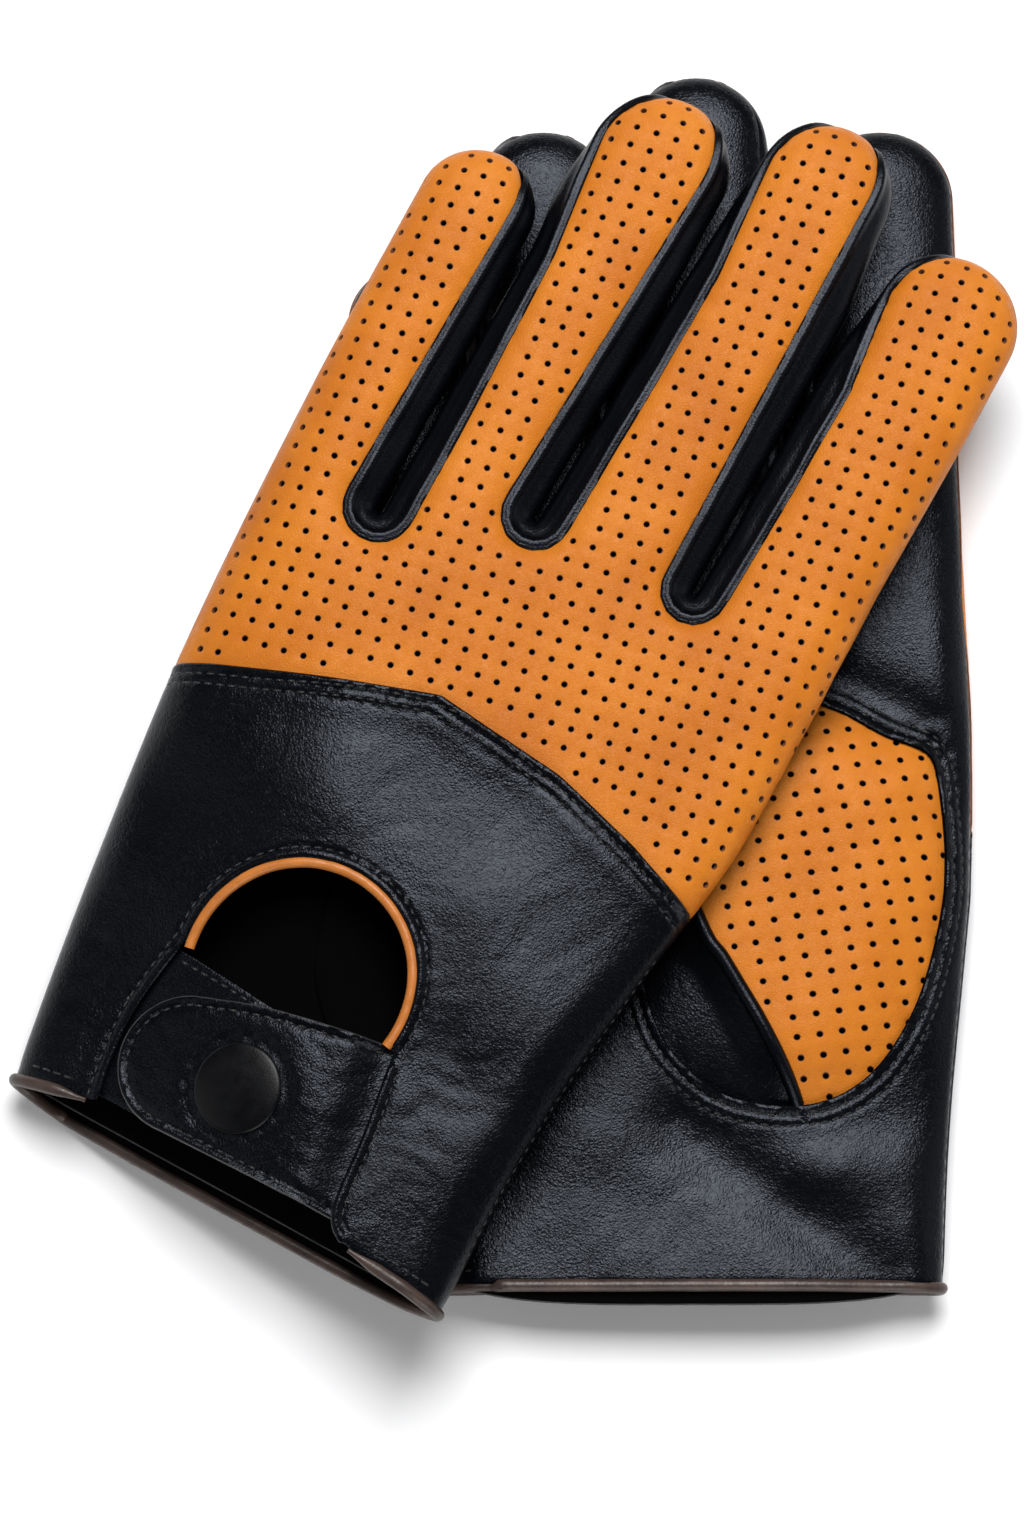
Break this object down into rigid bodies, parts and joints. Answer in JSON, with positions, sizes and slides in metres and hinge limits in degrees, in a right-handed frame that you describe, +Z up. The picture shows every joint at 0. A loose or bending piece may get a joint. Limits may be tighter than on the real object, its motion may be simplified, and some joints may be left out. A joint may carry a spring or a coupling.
{
  "type": "leather driving gloves",
  "caption": "Leather driving gloves lying crossed: perforated backs, black palms, vented cuffs closed by snap straps.",
  "frame": {"origin": "centre of the pair's outline in plan, on the surface it lies on", "axes": "+Z up, +Y along the fingers of the right glove, +X towards its thumb side"},
  "size_m": [0.1934, 0.2472, 0.0337],
  "materials": {
    "tan_leather": "smooth perforated leather, satin",
    "piping_leather": "smooth leather piping, satin",
    "black_leather": "fine pebble grain, semi-gloss",
    "lining_black": "matt flesh side",
    "brown_binding": "smooth rolled binding",
    "thread_black": "twisted sewing thread",
    "snap_black": "satin black enamel",
    "snap_metal": "plated, satin"
  },
  "bodies": {
    "right_glove": {"right_back_panel": "tan_leather", "right_palm_panel": "black_leather", "right_fourchette_index_middle": "black_leather", "right_fourchette_middle_ring": "black_leather", "right_fourchette_ring_little": "black_leather", "right_thumb_back": "tan_leather", "right_thumb_front": "black_leather", "right_cuff_back": "black_leather", "right_vent_piping": "piping_leather", "right_cuff_binding": "brown_binding", "right_hem_facing": "lining_black", "right_underlap_tab": "black_leather", "right_snap_stud": "snap_metal", "right_snap_eyelet": "snap_metal"},
    "left_glove": {"left_back_panel": "tan_leather", "left_palm_panel": "black_leather", "left_fourchette_index_middle": "black_leather", "left_fourchette_middle_ring": "black_leather", "left_fourchette_ring_little": "black_leather", "left_thumb_back": "tan_leather", "left_thumb_front": "black_leather", "left_cuff_back": "black_leather", "left_vent_piping": "piping_leather", "left_cuff_binding": "brown_binding", "left_hem_facing": "lining_black", "left_underlap_tab": "black_leather", "left_snap_stud": "snap_metal", "left_snap_eyelet": "snap_metal"},
    "right_strap": {"right_strap": "black_leather", "right_strap_lining": "lining_black", "right_snap_cap": "snap_black", "right_snap_socket": "snap_metal"},
    "left_strap": {"left_strap": "black_leather", "left_strap_lining": "lining_black", "left_snap_cap": "snap_black", "left_snap_socket": "snap_metal"}
  },
  "joints": [
    {"name": "left_glove_lift", "type": "slide", "parent": "right_glove", "child": "left_glove", "axis": [0, 0, 1], "range_m": [0, 0.15]},
    {"name": "left_strap_hinge", "type": "hinge", "parent": "left_glove", "child": "left_strap", "pos_m": [-0.02974, -0.08754, 0.03255], "axis": [0.3307, 0.9435, 0.0208], "range_deg": [0, 120]},
    {"name": "right_strap_hinge", "type": "hinge", "parent": "right_glove", "child": "right_strap", "pos_m": [0.0497, -0.09303, 0.0023], "axis": [0.1854, -0.9827, 0], "range_deg": [0, 120]}
  ]
}
